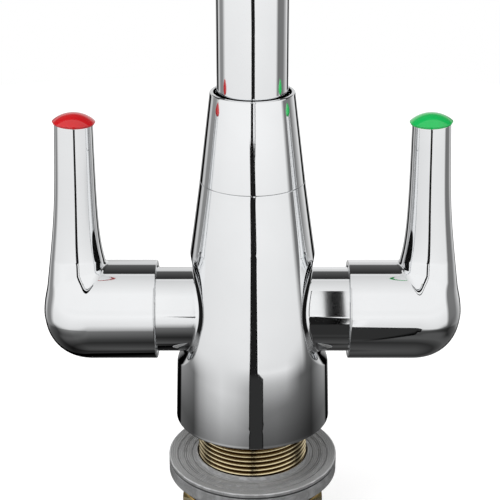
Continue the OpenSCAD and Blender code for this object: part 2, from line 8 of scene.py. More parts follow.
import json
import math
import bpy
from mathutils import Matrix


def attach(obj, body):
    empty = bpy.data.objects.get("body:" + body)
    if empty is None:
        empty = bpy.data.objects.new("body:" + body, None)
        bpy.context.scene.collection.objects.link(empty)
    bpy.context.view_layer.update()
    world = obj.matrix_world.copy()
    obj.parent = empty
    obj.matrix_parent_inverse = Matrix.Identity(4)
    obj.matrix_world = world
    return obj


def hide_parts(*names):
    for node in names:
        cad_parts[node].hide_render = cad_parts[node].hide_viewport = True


bl_info = {
    "name": "Kitchen Mixer Tap",
    "version": (1, 0, 0),
    "blender": (4, 5, 0),
    "location": "View3D > Sidebar > Tap",
    "description": "Builds the dressed pieces of a two handle kitchen mixer tap",
    "category": "Add Mesh",
}

from functools import partial, reduce

import bmesh
import bpy
import numpy as np
from bpy.props import FloatProperty, FloatVectorProperty, IntProperty, PointerProperty
from bpy.types import Operator, Panel, PropertyGroup

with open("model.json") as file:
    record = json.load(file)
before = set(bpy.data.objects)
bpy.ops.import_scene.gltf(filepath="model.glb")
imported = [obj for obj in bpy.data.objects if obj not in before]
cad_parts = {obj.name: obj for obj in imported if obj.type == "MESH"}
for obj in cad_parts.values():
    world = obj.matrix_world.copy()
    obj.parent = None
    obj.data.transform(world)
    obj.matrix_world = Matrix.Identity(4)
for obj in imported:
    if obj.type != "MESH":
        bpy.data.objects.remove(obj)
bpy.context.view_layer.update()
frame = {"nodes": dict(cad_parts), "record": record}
SIDES = {"hot": -1, "cold": 1}
CAP_SLOTS = {"hot": "red_cap", "cold": "green_cap"}
FULL = 2 * math.pi

# Heights above the worktop and radii that several pieces share, in millimetres
AXIS_H = 34.3
SEAM_H = 74.6
ARM_R = 12.35
ARM_END = 31
SHANK_R = 16.5
SHANK_LEN = 50
OUTLET_Y = -180
AROUND = 144


# Sizes and colours that a user would change

def size(name, about, default, low, high):
    """A length in metres that a user can change."""
    return FloatProperty(name=name, description=about, default=default, min=low, max=high,
                         unit="LENGTH")


def paint(name, about, default):
    """A colour that a user can change."""
    return FloatVectorProperty(name=name, description=about, subtype="COLOR", default=default,
                               min=0.0, max=1.0)


class TapSizes(PropertyGroup):
    """Sizes of the surface detail that the CAD model leaves out."""

    window_depth: size("Window depth", "Depth of the sunk window at the root of each arm",
                       0.0019, 0.0, 0.0025)
    window_edge: size("Window edge", "Half width of the rounded rim of each window",
                      0.0003, 0.0001, 0.0008)
    arm_fillet: size("Arm fillet", "Reach of the fillet between body and arm",
                     0.0008, 0.0005, 0.0017)
    thread_pitch: size("Thread pitch", "Rise of the shank's thread in one turn",
                       0.0015, 0.001, 0.002)
    thread_depth: size("Thread depth", "Depth of the shank's thread", 0.00092, 0.0005, 0.001)
    cap_dome: size("Cap dome", "Height of the dome on each index cap", 0.00235, 0.0005, 0.0024)
    around: IntProperty(
        name="Points around", description="Points around the tube and the handles",
        default=144, min=48, max=288)


class TapFinish(PropertyGroup):
    """Colours of the finishes, and the lamp."""

    chrome: paint("Chrome", "Colour of the bright plate", (0.90, 0.91, 0.92))
    brass: paint("Brass", "Colour of the turned brass", (0.98, 0.84, 0.54))
    gasket: paint("Gasket", "Colour of the grey ring", (0.56, 0.565, 0.57))
    hot_cap: paint("Hot cap", "Colour of the hot index cap", (0.60, 0.006, 0.010))
    cold_cap: paint("Cold cap", "Colour of the cold index cap", (0.003, 0.52, 0.10))
    lamp_power: FloatProperty(
        name="Lamp power", description="Power of the soft lamp", default=7.0, min=0.0,
        unit="POWER")


# Building blocks of the surfaces

SHARP = 32  # edges that turn by more degrees than this stay sharp
BESIDE = 0.15  # room between a rounding and the flat side next to it
SIDE_SHARE = 0.48  # share of a side that a rounding with its room may take
MERGE_M = 3e-6  # points closer than this, in metres, are one


def angles(columns):
    """Even angles round the circle, from 0 on."""
    return np.arange(columns) / columns * FULL


def points(*parts):
    """Points from their coordinates, arrays or numbers, all spread to one shape."""
    return np.stack(np.broadcast_arrays(*parts), axis=-1)


def polar(r, angle, z):
    """Points at radius r and an angle about the upright axis, at height z."""
    return points(r * np.cos(angle), r * np.sin(angle), z)


def grid_faces(rows, columns):
    """Quads of a grid of points stored row by row, the last column joined to the first."""
    i, j = np.meshgrid(np.arange(rows - 1), np.arange(columns), indexing="ij")
    k = (j + 1) % columns
    row, above = i * columns, (i + 1) * columns
    return points(row + j, row + k, above + k, above + j).reshape(-1, 4)


def rounded(corners, steps=5):
    """Profile through corners (across, along, radius) with each corner rounded.

    Each corner is swapped for a parabola that touches both its sides at radius times the
    tangent of half the turn from the corner. One more point lies beside each end of the
    parabola, which keeps the flat sides flat in the shading."""
    c = np.asarray(corners, float)
    p = c[1:-1, :2]
    back, ahead = c[:-2, :2] - p, c[2:, :2] - p
    len_b = np.linalg.norm(back, axis=1, keepdims=True)
    len_a = np.linalg.norm(ahead, axis=1, keepdims=True)
    back, ahead = back / len_b, ahead / len_a
    turn = np.pi - np.arccos(np.clip((back * ahead).sum(1), -1, 1))
    cut = (c[1:-1, 2] * np.tan(turn / 2))[:, None]
    t = np.linspace(0, 1, steps)[None, :, None]
    start, end = (p + back * cut)[:, None], (p + ahead * cut)[:, None]
    arc = (1 - t) ** 2 * start + 2 * t * (1 - t) * p[:, None] + t ** 2 * end
    near_b = (p + back * np.minimum(cut + BESIDE, SIDE_SHARE * len_b))[:, None]
    near_a = (p + ahead * np.minimum(cut + BESIDE, SIDE_SHARE * len_a))[:, None]
    inner = np.concatenate([near_b, arc, near_a], axis=1).reshape(-1, 2)
    return np.vstack([c[:1, :2], inner, c[-1:, :2]])


def turned(profile, columns, centre=(0, 0)):
    """Turned surface: a profile of (radius, height) carried round the upright line at centre."""
    grid = polar(profile[:, :1], angles(columns), profile[:, 1:])
    grid[..., :2] += centre
    return grid


def smooth(mesh, sharp=SHARP):
    """Shades a mesh smooth and keeps its sharp edges."""
    mesh.shade_smooth()
    mesh.set_sharp_from_angle(angle=math.radians(sharp))


def piece(name, grids, material, sharp=SHARP, painted_shade=None):
    """One mesh from grids of points (rows, columns, 3) in millimetres, each closed around.

    Doubles are merged, which closes seams and poles, and the faces are turned outwards. The last
    argument holds, for each grid, the painted shade of its points, which is kept as an attribute
    under the argument's own name."""
    faces, start = [], 0
    for g in grids:
        faces.append(grid_faces(*g.shape[:2]) + start)
        start += g[..., 0].size
    places = np.concatenate([g.reshape(-1, 3) for g in grids]) * 0.001
    mesh = bpy.data.meshes.new(name)
    mesh.from_pydata(places.tolist(), [], np.concatenate(faces).tolist())
    # painted shade of each point, kept as an attribute for the materials
    if painted_shade is not None:
        values = np.concatenate([v.ravel() for v in painted_shade]).astype(np.float32)
        mesh.attributes.new("painted_shade", "FLOAT", "POINT").data.foreach_set("value", values)
    bm = bmesh.new()
    bm.from_mesh(mesh)
    bmesh.ops.remove_doubles(bm, verts=bm.verts, dist=MERGE_M)
    bmesh.ops.recalc_face_normals(bm, faces=bm.faces)
    bm.to_mesh(mesh)
    bm.free()
    smooth(mesh, sharp)
    obj = bpy.data.objects.new(name, mesh)
    bpy.context.scene.collection.objects.link(obj)
    mesh.materials.append(material)
    return obj


def turned_piece(name, corners, material, centre=(0, 0)):
    """A turned piece from the corners of its profile."""
    return piece(name, [turned(rounded(corners), AROUND, centre)], material)


def dress(shape, node, body, slot, *choice):
    """Makes a shape in the finish of its slot, in the place of its CAD node and on its body."""
    obj = shape(*choice, finish_for(slot))
    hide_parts(node)
    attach(obj, body)


# Building blocks of the materials

NOISE_LOW, NOISE_HIGH = 0.35, 0.65  # noise keeps to this range over most of a surface


def put(tree, socket, value):
    """Gives an input its number or colour, or links it to the output that is its value."""
    if isinstance(value, bpy.types.NodeSocket):
        tree.links.new(value, socket)
    else:
        socket.default_value = value


def fill(tree, node, **inputs):
    """Gives the inputs of a node their values; an underscore stands for a space."""
    for name, value in inputs.items():
        put(tree, node.inputs[name.replace("_", " ")], value)
    return node


def add_node(tree, kind, **inputs):
    """A new shader node of a kind, with values for its inputs."""
    return fill(tree, tree.nodes.new("ShaderNode" + kind), **inputs)


def math_node(tree, operation, *values):
    """One math node with its values."""
    node = add_node(tree, "Math")
    node.operation = operation
    for socket, value in zip(node.inputs, values):
        put(tree, socket, value)
    return node.outputs[0]


def mix_node(tree, fac, first, second, blend="MIX"):
    """One colour mix; a plain number for a colour is a grey."""
    node = add_node(tree, "Mix")
    node.data_type = "RGBA"
    node.blend_type = blend
    first, second = ((v, v, v, 1) if isinstance(v, (int, float)) else v
                     for v in (first, second))
    return fill(tree, node, Factor=fac, A=first, B=second).outputs["Result"]


def ramp(tree, fac, stops):
    """A ramp through stops of (place, colour), straight between them."""
    node = add_node(tree, "ValToRGB", Fac=fac)
    elements = node.color_ramp.elements
    while len(elements) < len(stops):
        elements.new(1)
    for element, (place, colour) in zip(elements, stops):
        element.position = place
        element.color = (*colour, 1)
    return node.outputs["Color"]


def new_material(name, colour, metallic, roughness, **inputs):
    """A material with plain values; returns it, its node tree and its shader."""
    mat = bpy.data.materials.new(name)
    mat.use_nodes = True
    tree = mat.node_tree
    shader = fill(tree, tree.nodes["Principled BSDF"], Base_Color=(*colour, 1),
                  Metallic=metallic, Roughness=roughness, **inputs)
    return mat, tree, shader


def place_in_object(tree):
    """The place on the object, as an output."""
    return add_node(tree, "TexCoord").outputs["Object"]


def painted_shade_attribute(tree):
    """The attribute that holds painted shade, as an output."""
    node = add_node(tree, "Attribute")
    node.attribute_name = "painted_shade"
    return node.outputs["Fac"]


def noise(tree, scale, detail=2, stretch=(1, 1, 1)):
    """Noise in object space, drawn out along an axis where stretch is below 1."""
    mapping = add_node(tree, "Mapping", Vector=place_in_object(tree), Scale=stretch)
    return add_node(tree, "TexNoise", Vector=mapping.outputs["Vector"], Scale=scale,
                    Detail=detail).outputs["Fac"]


def spread(tree, value, low, high, start=NOISE_LOW, end=NOISE_HIGH):
    """A value spread to run from low to high between start and end, and held beyond. Without
    these two it is a noise."""
    return add_node(tree, "MapRange", Value=value, From_Min=start, From_Max=end,
                    To_Min=low, To_Max=high).outputs["Result"]


def shaded(colour, shade):
    """The colour times the shade, which is one number or one for each channel."""
    return np.array(colour[:]) * shade


def tinted(tree, fac, colour, shade):
    """The colour, and shade times the colour where the noise is low."""
    return ramp(tree, fac, ((NOISE_LOW, shaded(colour, shade)), (NOISE_HIGH, colour)))


def painted_shade_colour(tree, colour, shade, start, end):
    """The colour, going over to shade times the colour where the attribute of painted shade
    rises: this paints shade into the colour.
    """
    return ramp(tree, painted_shade_attribute(tree), ((start, colour), (end, shaded(colour, shade))))


def bumped(tree, shader, height, strength, distance):
    """Joins a height to the shader's normal through a bump of the given depth in metres."""
    bump = add_node(tree, "Bump", Height=height, Strength=strength, Distance=distance)
    fill(tree, shader, Normal=bump.outputs["Normal"])


# Materials

def chrome_plate(colour):
    """Bright plate: a mirror whose gloss and tone drift a little over the surface. Where the
    attribute of painted shade rises it goes over to plain black, which no light brightens:
    painted shade in the body's sunk windows."""
    mat, tree, shader = new_material("chrome_plate", colour, 1, 0.04, Specular_IOR_Level=0)
    drift, painted_shade = noise(tree, 55, 3), painted_shade_attribute(tree)
    # painted shade: black base colour and no metal where the attribute rises
    fill(tree, shader, Roughness=spread(tree, drift, 0.028, 0.055),
         Base_Color=mix_node(tree, painted_shade, tinted(tree, drift, colour, 0.97), 0.01),
         Metallic=math_node(tree, "SUBTRACT", 1, painted_shade))
    return mat


def turned_brass(colour):
    """Turned brass: fine tool marks round the axis, and painted shade that deepens from the
    crests of a thread down its flanks into its valleys.
    """
    mat, tree, shader = new_material("turned_brass", colour, 1, 0.2)
    marks = noise(tree, 900, 2, (0.05, 0.05, 1))
    # the dark brown is painted shade, taken from the attribute
    fill(tree, shader, Roughness=spread(tree, marks, 0.12, 0.26),
         Base_Color=painted_shade_colour(tree, colour, (0.12, 0.085, 0.045), 0.05, 0.48))
    bumped(tree, shader, marks, 0.15, 0.00005)
    return mat


def brushed_steel():
    """Plain stainless steel with a fine grain."""
    mat, tree, shader = new_material("brushed_steel", (0.60, 0.61, 0.63), 1, 0.3)
    grain = noise(tree, 1500, 2, (1, 0.04, 1))
    fill(tree, shader, Roughness=spread(tree, grain, 0.22, 0.38))
    bumped(tree, shader, grain, 0.1, 0.00003)
    return mat


def moulded(name, colour, rough, grain_scale, shade=0.9, depth=0.00003, **inputs):
    """A moulded finish: a slight mottle in colour and gloss, and the mould's fine grain."""
    mat, tree, shader = new_material(name, colour, 0, rough, **inputs)
    mottle = noise(tree, 160, 3)
    fill(tree, shader, Base_Color=tinted(tree, mottle, colour, shade),
         Roughness=spread(tree, mottle, 0.85 * rough, 1.15 * rough))
    bumped(tree, shader, noise(tree, grain_scale), 0.2, depth)
    return mat


def grooved_rubber(colour):
    """Moulded rubber of the ring: half glossy, with painted shade from the attribute in its
    grooves and on its walls, and wavering tool marks round the axis."""
    mat, tree, shader = new_material("grey_gasket", colour, 0, 0.3)
    wave = add_node(tree, "TexWave", Vector=place_in_object(tree), Scale=520, Distortion=7,
                    Detail=3, Detail_Scale=0.8)
    wave.wave_type, wave.rings_direction = "RINGS", "Z"
    marks = wave.outputs["Fac"]
    # painted shade from the attribute, with the tool marks darker still
    tone = mix_node(tree, math_node(tree, "MULTIPLY", marks, 0.4),
                    painted_shade_colour(tree, colour, 0.25, 0, 1), 0.04)
    fill(tree, shader, Base_Color=tone, Roughness=spread(tree, marks, 0.2, 0.42))
    bumped(tree, shader, marks, 0.5, 0.00012)
    return mat


def index_plastic(name, colour):
    """Glossy plastic of an index cap, under a thin clear coat."""
    return moulded(name, colour, 0.2, 900, 0.92, 0.00001, Coat_Weight=0.5,
                   Coat_Roughness=0.05)


def make_materials():
    """All finishes by slot name."""
    finish = bpy.context.scene.tap_finish
    return {
        "chrome_plate": chrome_plate(finish.chrome),
        "brass": turned_brass(finish.brass),
        "steel": brushed_steel(),
        "black_rubber": moulded("black_rubber", (0.02, 0.02, 0.022), 0.55, 2500),
        "grey_gasket": grooved_rubber(finish.gasket),
        "nylon": moulded("natural_nylon", (0.76, 0.75, 0.68), 0.45, 2000),
        "ceramic": moulded("alumina_ceramic", (0.86, 0.84, 0.78), 0.12, 2600, 0.96, 0.00001),
        "red_cap": index_plastic("red_plastic", finish.hot_cap),
        "green_cap": index_plastic("green_plastic", finish.cold_cap),
    }


# Body and collar

FOOT_R, FOOT_H, FOOT_TAPER = 22.95, 1.8, 0.0287
WAIST_R, WAIST_H, WAIST_BLEND = 22.3, 24.8, 0.28
SEAM_R, SEAM_ROUNDING = 15, 0.22
CONE_DROP, CONE_SAG = 7.3, 0.6
WINDOW_SIDE, WINDOW_TOP = 14.9, 18.4  # from the arm's axis
WINDOW_FLOOR = (17.8, 16.2)  # half axes of the ellipse that ends the window below
WINDOW_CORNER = 16  # power of the mean that rounds the window's corners
SINK_BESIDE = 0.45  # share of the window's depth that is left beside the arm
PATCH_LOW, PATCH_HIGH = 6, 58  # heights between which the flank carries the arms
PATCH_ACROSS, PATCH_UP = 73, 41  # points along the edges of half that flank
PATCH_R = 15.4  # by this the turn around the body is made a length
WELL_R, WELL_H = 15.05, 10  # hollow in the foot, above the shank
PORT_X, PORT_R, PORT_H = 6.2, 5, 22
FLANK_H = 73.6  # where the rounding at the seam starts
COLLAR_H, COLLAR_FLOOR_H = 100.3, 86.65


def flank_radius(z):
    """Radius of the body at height z.

    The foot tapers evenly, and the cone sags a little between waist and seam. The radius is
    the lesser of the two, blended where they meet."""
    foot = FOOT_R - FOOT_TAPER * (z - FOOT_H)
    share = (z - WAIST_H) / (SEAM_H - WAIST_H)
    cone = WAIST_R - CONE_DROP * share - CONE_SAG * share * (1 - share)
    return (foot + cone - np.sqrt((foot - cone) ** 2 + WAIST_BLEND)) / 2


def window_rim(phi):
    """Distance of the window's rim from the arm's axis at the angle phi: half an ellipse
    above the axis, and below it a wider ellipse cut off by upright sides, with the corners
    rounded by a high power mean."""
    across, up = np.abs(np.cos(phi)), np.abs(np.sin(phi))
    arch = 1 / np.sqrt((across / WINDOW_SIDE) ** 2 + (up / WINDOW_TOP) ** 2)
    curved = 1 / np.sqrt((across / WINDOW_FLOOR[0]) ** 2 + (up / WINDOW_FLOOR[1]) ** 2)
    cut = (curved ** -WINDOW_CORNER + (across / WINDOW_SIDE) ** WINDOW_CORNER)
    return np.where(np.sin(phi) > 0, arch, cut ** (-1 / WINDOW_CORNER))


def window_reach(rho, phi, depth, edge):
    """How far out along the arm the body's surface lies, at distance rho and angle phi.

    The flank is sunk along a straight ramp from nothing at the rim to the full depth above
    and below the arm, and less beside it. The ramp starts with a parabola as long as the
    rim's rounding."""
    rim = window_rim(phi)
    u = rim - rho
    ramp = np.where(u > edge, u, np.where(u < -edge, 0, (u + edge) ** 2 / (4 * edge)))
    share = SINK_BESIDE + (1 - SINK_BESIDE) * np.sin(phi) ** 2
    sink = depth * share * ramp / (rim - ARM_R)
    radius = flank_radius(AXIS_H + rho * np.sin(phi)) - sink
    return np.sqrt(radius ** 2 - (rho * np.cos(phi)) ** 2)


def arm_side(side):
    """One half of the body's flank with its window and arm, as loops around the arm.

    The outer loop is a rectangle in the angle around the body and the height. The loops nearer
    the arm are circles and rims around its axis, and those between are even steps from rim to
    rectangle. The innermost loops are the fillet, the arm and its bore. With the points comes
    their share of painted shade: the window's floor is painted black above and beside the arm,
    and the paint fades out below it."""
    sizes = bpy.context.scene.tap_sizes
    depth, edge, fillet = (1000 * v for v in (sizes.window_depth, sizes.window_edge,
                                              sizes.arm_fillet))
    low, high = PATCH_LOW, PATCH_HIGH
    corners = np.cumsum([0] + 2 * [PATCH_ACROSS - 1, PATCH_UP - 1])
    place = np.arange(corners[-1])
    turn = np.radians(np.interp(place, corners, [-90, 90, 90, -90, -90]))
    height = np.interp(place, corners, [low, low, high, high, low])
    phi = np.arctan2(height - AXIS_H, PATCH_R * turn)

    def circle(x, rho):
        return points(x, rho * np.cos(phi), AXIS_H + rho * np.sin(phi))

    bore = rounded([(10, 0, 0), (10, 9.6, 0.1), (22.2, 9.6, 0.1), (22.2, 10.45, 0.1),
                    (ARM_END, 10.45, 0.3), (ARM_END, ARM_R, 0.4), (26, ARM_R, 0)])
    loops = [circle(bore[:, :1], bore[:, 1:])]
    corner = window_reach(ARM_R, phi, depth, edge)
    foot = window_reach(ARM_R + fillet, phi, depth, edge)
    t = np.linspace(0, 1, 11)[:, None]
    x = corner + (1 - t) ** 2 * fillet + t ** 2 * (foot - corner)
    rho = ARM_R + t ** 2 * fillet
    plain = corner + fillet + np.array([[3], [0.4]])
    loops += [circle(plain, ARM_R), circle(x, rho)]
    rim = window_rim(phi)
    near, far = rim - edge, rim + edge
    t = np.linspace(0, 2, 13)[1:, None]
    rho = np.where(t <= 1, ARM_R + fillet + t * (near - ARM_R - fillet),
                   near + (t - 1) * (far - near))
    loops.append(circle(window_reach(rho, phi, depth, edge), rho))
    z = AXIS_H + far * np.sin(phi)
    start = np.arcsin(far * np.cos(phi) / flank_radius(z))
    t = np.linspace(0, 1, 27)[1:, None]
    t = 0.35 * t + 0.65 * t ** 2
    angle, z = start + t * (turn - start), z + t * (height - z)
    loops.append(polar(flank_radius(z), angle, z))
    grid = np.concatenate(loops)
    grid[..., 0] *= side
    # Painted shade of the window's floor by rows: the first 8 after the bore and the last 26 are
    # clear, and the 6 before those fade
    floor = np.concatenate([np.zeros(len(bore) + 8), np.ones(11), np.linspace(0.8, 0, 6),
                            np.zeros(26)])[:, None]
    # painted shade is full above and beside the arm and fades out below it
    return grid, floor * np.clip((np.sin(phi) + 0.55) / 0.45, 0, 1)


def port_side(side):
    """Half of the ceiling in the body's foot, from its rim to one inlet port and up the port."""
    across = np.radians(np.linspace(-90, 90, PATCH_ACROSS))
    chord = np.linspace(WELL_R, -WELL_R, 25)[1:-1]
    x = np.concatenate([WELL_R * np.cos(across), 0 * chord])
    y = np.concatenate([WELL_R * np.sin(across), chord])
    phi = np.arctan2(y, x - PORT_X)
    port_x, port_y = PORT_X + PORT_R * np.cos(phi), PORT_R * np.sin(phi)
    t = np.array([0, 0.05, 0.3, 0.7, 1])[:, None]
    ceiling = points(x + t * (port_x - x), y + t * (port_y - y), WELL_H)
    wall = points(port_x, port_y, np.array([[WELL_H + 0.3], [PORT_H]]))
    end = points(PORT_X, 0 * phi, PORT_H)[None]
    grid = np.concatenate([ceiling, wall, end])
    grid[..., 0] *= side
    return grid


def body_shell(material):
    """The body: turned top and foot, and two halves of its flank with windows and arms."""
    top = rounded([(0, 48, 0), (7.5, 48, 0.3), (7.5, 58, 0.2), (10.55, 58, 0.2),
                   (10.55, 84.6, 0.3), (12.3, 84.6, 0.3), (12.3, SEAM_H, 0.1),
                   (SEAM_R, SEAM_H, SEAM_ROUNDING), (flank_radius(FLANK_H), FLANK_H, 0)])
    flank, foot = (points(flank_radius(z), z) for z in (
        np.linspace(FLANK_H, PATCH_HIGH, 14), np.linspace(PATCH_LOW, 1.1, 4)))
    under = rounded([(flank_radius(0.9), 0.9, 0), (23, 0, 0.4), (20, 0, 0.15), (20, 1.6, 0.1),
                     (WELL_R, 1.6, 0.1), (WELL_R, WELL_H, 0)], steps=7)
    columns = [turned(p, AROUND) for p in (np.vstack([top, flank]), np.vstack([foot, under]))]
    arms, painted_shades = zip(*map(arm_side, SIDES.values()))
    ports = [port_side(side) for side in SIDES.values()]
    # only the two flank halves carry painted shade, in their windows
    painted_shade = [0 * g[..., 0] for g in columns] + [*painted_shades] + [0 * g[..., 0] for g in ports]
    return piece("body_shell", [*columns, *arms, *ports], material, painted_shade=painted_shade)


def collar_shell(material):
    """The collar: a straight cone above the seam with a thin rim round the tube."""
    return turned_piece("collar_shell", [
        (13.5, SEAM_H, 0), (SEAM_R, SEAM_H, SEAM_ROUNDING), (11.9, COLLAR_H, 0.45),
        (10.9, COLLAR_H, 0.2), (10.9, 95, 0.1), (10.3, 95, 0.1), (10.3, COLLAR_FLOOR_H, 0.1),
        (12.35, COLLAR_FLOOR_H, 0.1), (12.35, SEAM_H, 0.15), (13.5, SEAM_H, 0)], material)


# Spout

TUBE_R, TUBE_BORE_R, TUBE_END_R = 9.96, 9, 9.8
TUBE_START_H = 88
STRAIGHT, BEND_R, DROP = 142, 90, 19  # straight run, radius of the bend, run down
NOZZLE_R, NOZZLE_H, HOUSING_H = 11.98, 219, 207


def swan_neck(material):
    """The tube: a ring carried up a straight run, over half a circle and down to the nozzle.

    The radius is the same all along the path, outside and inside, but for rounded ends."""
    bend = math.pi * BEND_R
    length = STRAIGHT + bend + DROP
    ends = np.array([0, 0.4, 1.2])
    run = np.concatenate([ends, [70], STRAIGHT + np.array([-0.8, 0]),
                          STRAIGHT + np.linspace(0, bend, 121)[1:], length - ends[::-1]])
    outer = points(TUBE_R, np.insert(run, [1, -1], [0.2, length - 0.2]))
    outer[[0, -1], 0] = TUBE_END_R
    along = np.vstack([outer, points(TUBE_BORE_R, run[::-1]), outer[:1]])
    r, s = along[:, :1], along[:, 1:]
    turn = np.clip((s - STRAIGHT) / BEND_R, 0, math.pi)
    centre_y = -BEND_R * (1 - np.cos(turn))
    centre_z = (TUBE_START_H + np.minimum(s, STRAIGHT) + BEND_R * np.sin(turn)
                - np.maximum(s - STRAIGHT - bend, 0))
    angle = angles(bpy.context.scene.tap_sizes.around)
    out = r * np.sin(angle)
    grid = points(r * np.cos(angle), centre_y + out * np.cos(turn),
                  centre_z + out * np.sin(turn))
    return piece("swan_neck", [grid], material)


def nozzle_ring(material):
    """The ring at the tube's end, with the plain spigot that the aerator screws on."""
    return turned_piece("nozzle_ring", [
        (11.5, NOZZLE_H, 0), (NOZZLE_R, NOZZLE_H, 0.35), (NOZZLE_R, HOUSING_H, 0.3),
        (11, HOUSING_H, 0.1), (11, 201.5, 0.2), (9, 201.5, 0.2), (9, 211, 0.1),
        (10.05, 211, 0.1), (10.05, NOZZLE_H, 0.1), (11.5, NOZZLE_H, 0)],
        material, (0, OUTLET_Y))


def aerator_shell(material):
    """The aerator's housing: a ring with a rounded lip and a band of fine upright grooves.

    In the band the radius drops by the square of a raised cosine of the angle, 72 times
    round."""
    grooves, points_each, groove_share = 72, 6, 0.016
    columns = grooves * points_each
    low, high, fade = 193.1, 204.6, 0.6
    lower = rounded([(11.5, HOUSING_H, 0), (NOZZLE_R, HOUSING_H, 0.25), (NOZZLE_R, 190, 0.8),
                     (9.4, 190, 0.3), (9.4, 191.2, 0.2), (11.05, 191.2, 0.1),
                     (11.05, HOUSING_H, 0.1), (11.5, HOUSING_H, 0)])
    steps = np.array([0, 0.3, 0.6, 0.9])
    heights = np.concatenate([high - steps, [198.8], low + steps[::-1]])
    at = int(np.argmax(lower[:, 1] < high - fade))
    outline = np.vstack([lower[:at], points(NOZZLE_R, heights), lower[at:]])
    depth = np.interp(outline[:, 1], [low, low + fade, high - fade, high], [0, 1, 1, 0])
    depth = groove_share * depth * (outline[:, 0] > NOZZLE_R - 0.08)
    shrink = 1 - depth[:, None] * (0.5 - 0.5 * np.cos(grooves * angles(columns))) ** 2
    grid = turned(outline, columns)
    grid[..., :2] = grid[..., :2] * shrink[..., None] + (0, OUTLET_Y)
    return piece("aerator_shell", [grid], material, sharp=50)


# Handles

LEVER_TOP = (49.9, 57.3)  # centre of the cap's edge, from the body's axis and the arm's
CAP_STAND = 0.6
LEVER_LEAN = math.radians(2.4)
ELBOW_X = 46.7
FAN_AT = (40.6, 17)  # line about which the rings of the elbow fan out
BARREL_R, BARREL_START = 14.46, 27.9
BALL_POWER, BALL_REACH = 2.2, 14.3
LEVER_FOOT_H = 17
OUTER_X, OUTER_SLOPE, OUTER_BEND, OUTER_BEND_H, OUTER_SPAN = 60.88, 0.045, 0.1, 31, 5
INNER_X, INNER_SWING, INNER_SPAN, INNER_LOW_SLOPE = 44.56, 1.46, 7.2, 0.2028


def lever_outer(h):
    """Outer outline of the lever at height h above the arm's axis.

    The slope starts at nothing, is 0.145 low down, and falls along an S curve to 0.045."""
    bend = h - OUTER_SPAN * np.log((1 + np.exp((h - OUTER_BEND_H) / OUTER_SPAN))
                                   / (1 + math.exp(-OUTER_BEND_H / OUTER_SPAN)))
    start = 0.174 * (1 - np.exp(-np.maximum(h, 0) / 1.2))
    return OUTER_X - OUTER_SLOPE * h - OUTER_BEND * bend + start


def lever_inner(h):
    """Inner outline of the lever at height h: above the elbow it closes in on an upright
    line, and below it runs on straight."""
    swing = INNER_SWING * np.exp(-np.maximum(h - LEVER_FOOT_H, 0) / INNER_SPAN)
    return INNER_X - swing - INNER_LOW_SLOPE * np.maximum(LEVER_FOOT_H - h, 0)


def smooth_step(x, low, high):
    """0 below low, 1 above high, and 3tt - 2ttt of the share t between them."""
    t = np.clip((x - low) / (high - low), 0, 1)
    return t * t * (3 - 2 * t)


def handle_field(x, y, h):
    """Distance from the handle's surface, roughly, and negative inside.

    The barrel is a round bar whose end is a ball with powers of 2.2. The lever is a bar with
    elliptic sections between its two outlines, which grow deeper towards the elbow, and it
    ends in half an ellipsoid inside the ball. The two are joined by a smooth minimum whose
    reach is the size of the fillet: small at the inner and outer corners and larger between
    them."""
    along = (np.maximum(x - ELBOW_X, 0) / BALL_REACH) ** BALL_POWER
    across = (np.hypot(y, h) / BARREL_R) ** BALL_POWER
    barrel = BARREL_R * ((along + across) ** (1 / BALL_POWER) - 1)
    low, high = lever_inner(np.maximum(h, 0)), lever_outer(np.maximum(h, 0))
    middle, half = (low + high) / 2, (high - low) / 2
    depth = half + 0.15 * np.clip(LEVER_FOOT_H - h, 0, LEVER_FOOT_H)
    bar = depth * (np.sqrt(((x - middle) / half) ** 2 + (y / depth) ** 2
                           + (np.minimum(h, 0) / 6) ** 2) - 1)
    inner, outer = smooth_step(x, 43, 49), smooth_step(x, 53, 60)
    reach = 0.9 + 1.3 * inner * (1 - outer)
    near = np.maximum(reach - np.abs(barrel - bar), 0)
    return np.minimum(barrel, bar) - near ** 2 / (4 * reach)


def handle_rings(around):
    """Rings of points on the handle's surface, from the barrel round the elbow to the lever.

    The rings lie in planes: upright on the barrel, fanned out about a line above it at the
    elbow, and across the lever. From a point inside, a ray runs out in the plane for each
    angle, and halving the interval finds where it leaves the handle."""
    beta = np.radians(np.linspace(0, 90, 91))
    ray = points(np.sin(beta), -np.cos(beta))
    run = np.array([34, 38, 39.4, 40.1])
    h = np.concatenate([np.linspace(LEVER_FOOT_H, 55, 49)[1:], [55.8]])
    lean = LEVER_LEAN * (h - LEVER_FOOT_H) / (LEVER_TOP[1] - LEVER_FOOT_H)
    from_fan = np.interp(beta, [0, 0.8, 1.57], [17, 16, 10.4])[:, None]
    centre = np.vstack([points(run, 0), FAN_AT + ray * from_fan,
                        points((lever_inner(h) + lever_outer(h)) / 2, h)])
    across = np.vstack([points(0 * run, -1), ray, points(np.cos(lean), np.sin(lean))])
    cos, sin = np.cos(angles(around)), np.sin(angles(around))
    near, far = 0, 40
    for _ in range(40):
        reach = (near + far) / 2
        x = centre[:, :1] + reach * across[:, :1] * cos
        y = reach * sin
        up = centre[:, 1:] + reach * across[:, 1:] * cos
        inside = handle_field(x, y, up) < 0
        near, far = np.where(inside, reach, near), np.where(inside, far, reach)
    return points(x, y, up)


def leant(across, up):
    """Across and up, turned by the lean of the lever's top."""
    cos, sin = math.cos(LEVER_LEAN), math.sin(LEVER_LEAN)
    return across * cos - up * sin, across * sin + up * cos


def on_arm(grid, side):
    """A grid drawn from the right arm's axis, moved to the arm of its side."""
    return grid * (side, 1, 1) + (0, 0, AXIS_H)


